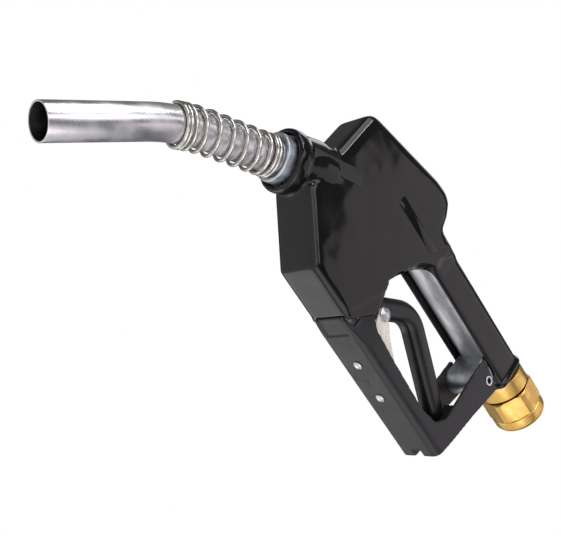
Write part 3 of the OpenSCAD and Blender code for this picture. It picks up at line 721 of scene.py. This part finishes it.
def guard():
    """Bent sheet channel with rounded corners below, a fork above, and slots in its web."""
    ends = both_sides([(-130, GUARD_HALF, CORNER_ROUND), (110.7, GUARD_HALF, CORNER_ROUND)])
    plan = both_sides([(-200, 13, 1), (-186, 15.6, 20), (-169, GUARD_HALF, 20), (-40, GUARD_HALF, 0)])
    limits = [block(ends, -230, -30, place=INLET_FRAME), block(plan, -150, 0, place=UPRIGHT)]
    inner_half = GUARD_HALF - SHEET
    drain = both_sides([(-74, 4, 1), (-55, 4, 1)])
    front_step = both_sides([(-205, 11, 0), (-184.5, 11, 1)])
    dimple = [(0, -2, 0), (3, -2, 0), (1.4, 0.6, 0), (0, 0.6, 0)]
    cuts = [
        block(CHANNEL, -inner_half, inner_half, rim=3.0),
        block(FORK_OPENING, -inner_half, inner_half),
        block(drain, -115, -100, place=UPRIGHT),
        block(front_step, -112, -109.2, place=UPRIGHT),
        rod(PIN_HOLE_R, -30, 30, PIN_AXIS),
        turned(dimple, Matrix.Translation((DIMPLE_X, 0, -110.5)), steps=24),
    ]
    sides = block(GUARD_OUTLINE, -GUARD_HALF - 1, GUARD_HALF + 1)
    return carved([sides], cuts, limits, melt=0.72, passes=2)


piece("lever_guard_channel", guard(), "body", GUARD_COAT, ["lever_guard"], sharp_deg=50)

# Hollow pin through the fork, with rolled ends
PIN_PROFILE = both_sides([(2.4, 18.2, 0.3), (3.9, 18.2, 0.6), (3.9, 17.7, 0.1), (3.6, 17.6, 0)])
pin = turned(PIN_PROFILE, PIN_AXIS, closed=True, steps=48)
piece("guard_pin_hollow", pin, "body", RIVET, ["guard_pin"])

# Domed rivets that hold the rack inside the guard's web
RACK_RIVET = [
    (0, -112.1, 0), (1.6, -112.0, 1), (3.5, -111.1, 0.6), (3.5, -110.4, 0.2), (2, -110.4, 0),
    (2, -105.4, 0), (3.2, -105.4, 0.2), (3.0, -104.5, 0.5), (0, -104.5, 0),
]
rivets = [turned(RACK_RIVET, Matrix.Translation((x, 0, 0)), steps=40) for x in RIVET_AT]
piece("rack_rivets_domed", joined(*rivets), "body", RIVET, ["rack_rivets"])


# ---------- lever and latch ----------

LEVER_W, LEVER_H, LEVER_ROUND = 15.0, 16.9, 6.2
RISE_DEG, FALL_DEG, TOP_R = 43.0, 25.5, 20.0
TOP_AT = Vector((-145, 0, -68))
FRONT_X, REAR_X = -181.0, -80.0
BAR_SECTION = both_sides([(-LEVER_H / 2, LEVER_W / 2, LEVER_ROUND), (LEVER_H / 2, LEVER_W / 2, LEVER_ROUND)])
# The bar's end narrows in steps of (length, scale)
END_STEPS = [("to", 4.5, 0.86), ("to", 2.5, 0.62), ("to", 0.8, 0.35)]


def lever():
    """Level front inside the body, then a round bar that rises, turns over its top and falls to the rear."""
    rise, fall = math.radians(RISE_DEG), math.radians(FALL_DEG)
    rise_top = TOP_AT + TOP_R * Vector((-math.sin(rise), 0, math.cos(rise)))
    start = Vector((FRONT_X, 0, rise_top.z - (rise_top.x - FRONT_X) * math.tan(rise)))
    hand = (REAR_X - TOP_AT.x - TOP_R * math.sin(fall)) / math.cos(fall)
    place = Matrix.Translation(start) @ Matrix.Rotation(math.radians(90) - rise, 4, "Y")
    moves = [("on", (rise_top - start).length), ("turn", -TOP_R, -RISE_DEG - FALL_DEG), ("on", hand)]
    bar = carried(BAR_SECTION, moves + END_STEPS, place)
    foot_x = rise_top.x - (rise_top.z - LEVER_PIVOT.z) / math.tan(rise)
    front = [
        (LEVER_PIVOT.x - 6.2, LEVER_PIVOT.z - 6.2, 6), (foot_x + 3, LEVER_PIVOT.z - 7, 4),
        (rise_top.x + 5, rise_top.z - 5, 0), (rise_top.x - 5, rise_top.z + 5, 0),
        (foot_x - 3, LEVER_PIVOT.z + 7, 4), (LEVER_PIVOT.x - 6.2, LEVER_PIVOT.z + 6.2, 6),
    ]
    fork = both_sides([(LEVER_PIVOT.x - 12, 2.7, 0), (LEVER_PIVOT.x + 11, 2.7, 1)])
    cuts = [
        rod(2.55, -12, 12, LEVER_AXIS),
        rod(2.5, -12, 12, LATCH_AXIS),
        rod(4.8, 4.4, 12, LATCH_AXIS, steps=40),
        block(fork, -110, -80, place=UPRIGHT),
    ]
    return carved([bar, block(front, -6, 6, rim=1)], cuts, melt=0.7, passes=3)


piece("lever_forged", lever(), "hand_lever", LEVER_COAT, ["lever"], sharp_deg=50)

# Stirrup: two plates that hang from the lever's rivet, with a bar across their far end
LATCH_SIDE = [
    (-175.4, -75.4, 2), (-171.8, -84, 3), (-141, -97.2, 10), (-133.4, -99.2, 2), (-131.2, -95.6, 2),
    (-141.5, -88, 20), (-156.5, -79.3, 20), (-163.5, -72.6, 3),
]
EYE_R, EYE_HOLE_R = 5.4, 2.55
PLATE_IN, PLATE_OUT = 7.75, 9.25
eye = ring(EYE_R, 24, LATCH_PIVOT.x, LATCH_PIVOT.z)
latch_parts = []
for low, high in ((-PLATE_OUT, -PLATE_IN), (PLATE_IN, PLATE_OUT)):
    hole = rod(EYE_HOLE_R, low - 1, high + 1, LATCH_AXIS @ Matrix.Rotation(math.pi, 4, "X"))
    side, boss = (block(outline, low, high, rim=0.25, rim_steps=2) for outline in (LATCH_SIDE, eye))
    latch_parts.append(carved([carved([side], unions=[boss])], [hole]))
LATCH_BAR = both_sides([(0, 8.4, 0), (2.2, 8.4, 0.3)])
latch_parts.append(turned(LATCH_BAR, across(-133.6, -96.4), steps=32))
piece("latch_stirrup", joined(*latch_parts), "latch", PALE_PLATE, ["latch_plate"])

# Rivet through lever and latch, the same at both ends: a domed middle inside a raised rim
LATCH_RIVET = both_sides([
    (0, 11.6, 0), (2.2, 11.5, 1.2), (3.4, 10.8, 0.3), (3.9, 10.9, 0.3), (5.2, 10.3, 0.5), (5.2, 9.5, 0.3),
    (2.48, 9.5, 0),
])
latch_rivet = turned(LATCH_RIVET, LATCH_AXIS, steps=48)
piece("latch_rivet_domed", latch_rivet, "hand_lever", RIVET, ["latch_rivet"])


# ---------- inlet ----------

HEX_HALF, CORNER_FLAT = 20.2, 22.0
HEX_TURN = 21.0
PITCH = 1.814
THREAD_RIDGE = 1.1
NUT_COLLAR = [
    (0, -11.6, 0), (20.3, -11.6, 0.3), (20.3, -10.7, 0.3), (21.5, -10.4, 0.8), (21.5, -3.2, 1.5),
    (20.4, -0.9, 2), (18.8, 0, 0.6), (0, 0, 0),
]
NUT_CHAMFER = [
    (0, -30, 0), (20.9, -30, 0), (22.6, -28.6, 0), (22.6, -12.2, 0), (21.6, -11, 0), (0, -11, 0),
]
NUT_REAR = [(0, -31, 0), (15.05, -31, 0), (15.05, -20, 0), (10, -20, 0), (10, -16, 0), (0, -16, 0)]


def twelve_sided():
    """Hexagon with a narrow flat across each corner, turned to where the nut rests."""
    reach = HEX_HALF / math.cos(math.radians(30))
    half_flat = (reach - CORNER_FLAT) / math.tan(math.radians(30))
    points = []
    for k in range(6):
        angle = math.radians(30 + HEX_TURN + 60 * k)
        out = Vector((math.cos(angle), math.sin(angle)))
        along = Vector((-out.y, out.x))
        for sign in (-1, 1):
            corner = out * CORNER_FLAT + along * sign * half_flat
            points.append((corner.x, corner.y, 0.25))
    return points


def swivel_nut():
    """Hexagon, groove and rounded collar, with a threaded mouth and a bored-out rear."""
    hexagon = block(twelve_sided(), -30, -11, rim=0.3, rim_steps=2, place=INLET_FRAME)
    hexagon = carved([hexagon], limits=[turned(NUT_CHAMFER, INLET_FRAME)])
    whole = carved([hexagon], unions=[turned(NUT_COLLAR, INLET_FRAME)])
    thread = [(0, 2, 0), (THREAD_R + 1.6, 2, 0), (THREAD_R + 1.4, -0.2, 0)]
    for k in range(int(THREAD_DEPTH / PITCH)):
        z = -0.6 - k * PITCH
        thread += [(THREAD_R, z - 0.3, 0.1), (THREAD_R, z - 0.6, 0.1)]
        thread.append((THREAD_R + THREAD_RIDGE, z - 1.4, 0.1))
    thread += [(THREAD_R, -THREAD_DEPTH, 0), (0, -THREAD_DEPTH, 0)]
    return carved([whole], [turned(profile, INLET_FRAME, steps=64) for profile in (thread, NUT_REAR)])


piece("swivel_nut_turned", swivel_nut(), "swivel", BRASS, ["swivel_nut"], sharp_deg=25)

ADAPTER_PROFILE = [
    (9, ADAPTER_BACK, 0.4), (11.4, ADAPTER_BACK, 0.6), (11.4, -45.1, 0), (20.6, -45.1, 0.3),
    (20.6, -32.2, 0.4), (20.2, -31.5, 0.3), (15, -31.5, 0), (15, ADAPTER_FRONT, 0.5),
    (9, ADAPTER_FRONT, 0.4),
]
adapter = turned(ADAPTER_PROFILE, INLET_FRAME, closed=True)
piece("inlet_adapter_turned", adapter, "body", BRASS, ["inlet_adapter"])


# ---------- spout ----------

SPOUT_WALL = 1.2
BEND_R = 150.0
ROOT_INSIDE = 15.5
ROOT_REACH = 84.0
ROOT_STRAIGHT = ROOT_REACH - BEND_R * math.tan(math.radians(BEND_DEG / 2))

spout = carried(
    ring(SPOUT_R, 48),
    [("on", ROOT_INSIDE + ROOT_STRAIGHT), ("turn", BEND_R, BEND_DEG), ("on", SPOUT_STRAIGHT)],
    ROOT_FRAME @ Matrix.Translation((0, 0, -ROOT_INSIDE)),
    turn_steps=1.5,
    capped=False,
)
inside = bmesh.ops.solidify(spout, geom=spout.faces, thickness=SPOUT_WALL)
for face in inside["geom"]:
    if isinstance(face, bmesh.types.BMFace):
        face.material_index = 1
rims = [e for e in spout.edges if len(e.link_faces) == 2 and e.calc_face_angle(0) > math.radians(60)]
bmesh.ops.bevel(spout, geom=rims, offset=0.35, segments=2, profile=0.5, affect="EDGES", material=-1)
piece("spout_tube_drawn", spout, "body", (TUBE, BORE), ["spout_tube"])

NUT_PROFILE = [
    (14.1, -9, 0), (15.9, -9, 0.3), (15.9, -2, 0.2), (17.2, -2, 0.3), (17.2, 8.2, 0.8), (16.2, 9, 0.4),
    (12.2, 9, 0.4), (12.2, 4.3, 0), (14.1, 4.3, 0),
]
spout_nut = turned(NUT_PROFILE, ROOT_FRAME, closed=True)
piece("spout_nut_turned", spout_nut, "body", ZINC, ["spout_nut"])

# Close turns at both ends and open ones between, given as (pitch, turns)
SPRING_TURNS = [(2.65, 2), (6.25, 1), (10.4, 1), (10.6, 3), (10.4, 1), (6.8, 1), (2.65, 2)]
SPRING_R, WIRE_R = 13.8, 1.22
SPRING_FOOT, SPRING_SAG = 10.45, 0.35
spring_place = ROOT_FRAME @ Matrix.Translation((-SPRING_SAG, 0, SPRING_FOOT))
anchor = coil(SPRING_R, WIRE_R, SPRING_TURNS, spring_place, ROOT_STRAIGHT - SPRING_FOOT, BEND_R)
piece("anchor_spring_wound", anchor, "body", WIRE, ["anchor_spring"])


# ---------- camera, lights and floor ----------

CAMERA_AT = Vector((-0.4745, -0.4648, -0.4662))
CAMERA_RIGHT = Vector((0.530, -0.6564, 0.537)).normalized()
CAMERA_UP = Vector((-0.769, -0.1045, 0.631)).normalized()
CAMERA_BACK = CAMERA_RIGHT.cross(CAMERA_UP).normalized()
CAMERA_UP = CAMERA_BACK.cross(CAMERA_RIGHT).normalized()
FOCAL_MM = 60.96
SENSOR_MM = 36.0

camera_data = bpy.data.cameras.new("camera")
camera_data.lens = FOCAL_MM
camera_data.sensor_width = SENSOR_MM
camera = bpy.data.objects.new("camera", camera_data)
camera_turn = Matrix((CAMERA_RIGHT, CAMERA_UP, CAMERA_BACK)).transposed().to_4x4()
camera.matrix_world = Matrix.Translation(CAMERA_AT) @ camera_turn
bpy.context.scene.collection.objects.link(camera)
bpy.context.scene.camera = camera

VIEW_CENTRE = Vector((-0.22, 0.0, -0.07))


def softbox(name, direction, distance, size, radiance, colour="#FFFFFF"):
    """A square light that far off in a direction, as bright to look at as the radiance."""
    data = bpy.data.lights.new(name, "AREA")
    data.shape = "RECTANGLE"
    data.size, data.size_y = size
    data.color = to_linear(colour)[:3]
    data.energy = radiance * math.pi * size[0] * size[1]
    light = bpy.data.objects.new(name, data)
    away = Vector(direction).normalized()
    facing = away.to_track_quat("Z", "Y").to_matrix().to_4x4()
    light.matrix_world = Matrix.Translation(VIEW_CENTRE + away * distance) @ facing
    bpy.context.scene.collection.objects.link(light)


softbox("side_softbox", (1.38, -1.05, 0.91), 1.85, (1.5, 1.5), 0.85, "#FFF4FA")
softbox("spout_softbox", (-0.13, -1.3, 0.52), 1.4, (0.6, 0.8), 2.0)
softbox("edge_softbox", (-0.70, -0.38, 0.60), 1.3, (0.9, 0.9), 2.4)
softbox("edge_strip", (-0.45, -0.62, 0.60), 1.2, (0.05, 0.7), 22.0)
softbox("top_softbox", (0.15, 0.25, 0.95), 1.3, (0.9, 0.5), 1.6)
softbox("low_softbox", (0.38, -0.45, -0.80), 0.75, (0.6, 0.6), 1.2, "#FFF2F6")
softbox("front_softbox", (-0.45, -0.9, -0.12), 1.4, (0.9, 0.9), 1.7, "#FAF0FF")
softbox("under_softbox", (0.38, 0.70, -0.60), 0.9, (0.5, 0.5), 1.0)

# White to the camera, and a dim room to everything else
world = bpy.data.worlds.new("studio")
bpy.context.scene.world = world
world.use_nodes = True
world.node_tree.nodes.clear()
seen = add(world.node_tree, "ShaderNodeLightPath").outputs["Is Camera Ray"]
backdrop = add(world.node_tree, "ShaderNodeBackground", {"Color": (1, 1, 1, 1), "Strength": 1.0})
room = add(world.node_tree, "ShaderNodeBackground", {"Color": (0.95, 0.96, 1, 1), "Strength": 0.18})
either = add(world.node_tree, "ShaderNodeMixShader",
             links={0: seen, 1: room.outputs[0], 2: backdrop.outputs[0]})
add(world.node_tree, "ShaderNodeOutputWorld", links={"Surface": either.outputs[0]})

FLOOR_Z = -0.9
FLOOR_HALF = 4.0
floor_mesh = bmesh.new()
bmesh.ops.create_grid(floor_mesh, x_segments=1, y_segments=1, size=FLOOR_HALF)
bmesh.ops.translate(floor_mesh, vec=(0, 0, FLOOR_Z), verts=floor_mesh.verts)
floor_data = bpy.data.meshes.new("floor")
floor_mesh.to_mesh(floor_data)
floor_mesh.free()
floor = bpy.data.objects.new("floor", floor_data)
floor_surface, _, floor_shader, _ = start_surface("pale_painted_floor", Roughness=0.8)
floor_shader.inputs["Base Color"].default_value = to_linear("#F2F2F2")
floor_shader.inputs["Emission Color"].default_value = to_linear("#FFFFFF")
floor_shader.inputs["Emission Strength"].default_value = 0.45
floor_data.materials.append(floor_surface)
bpy.context.scene.collection.objects.link(floor)
bpy.context.scene.view_settings.view_transform = "Standard"
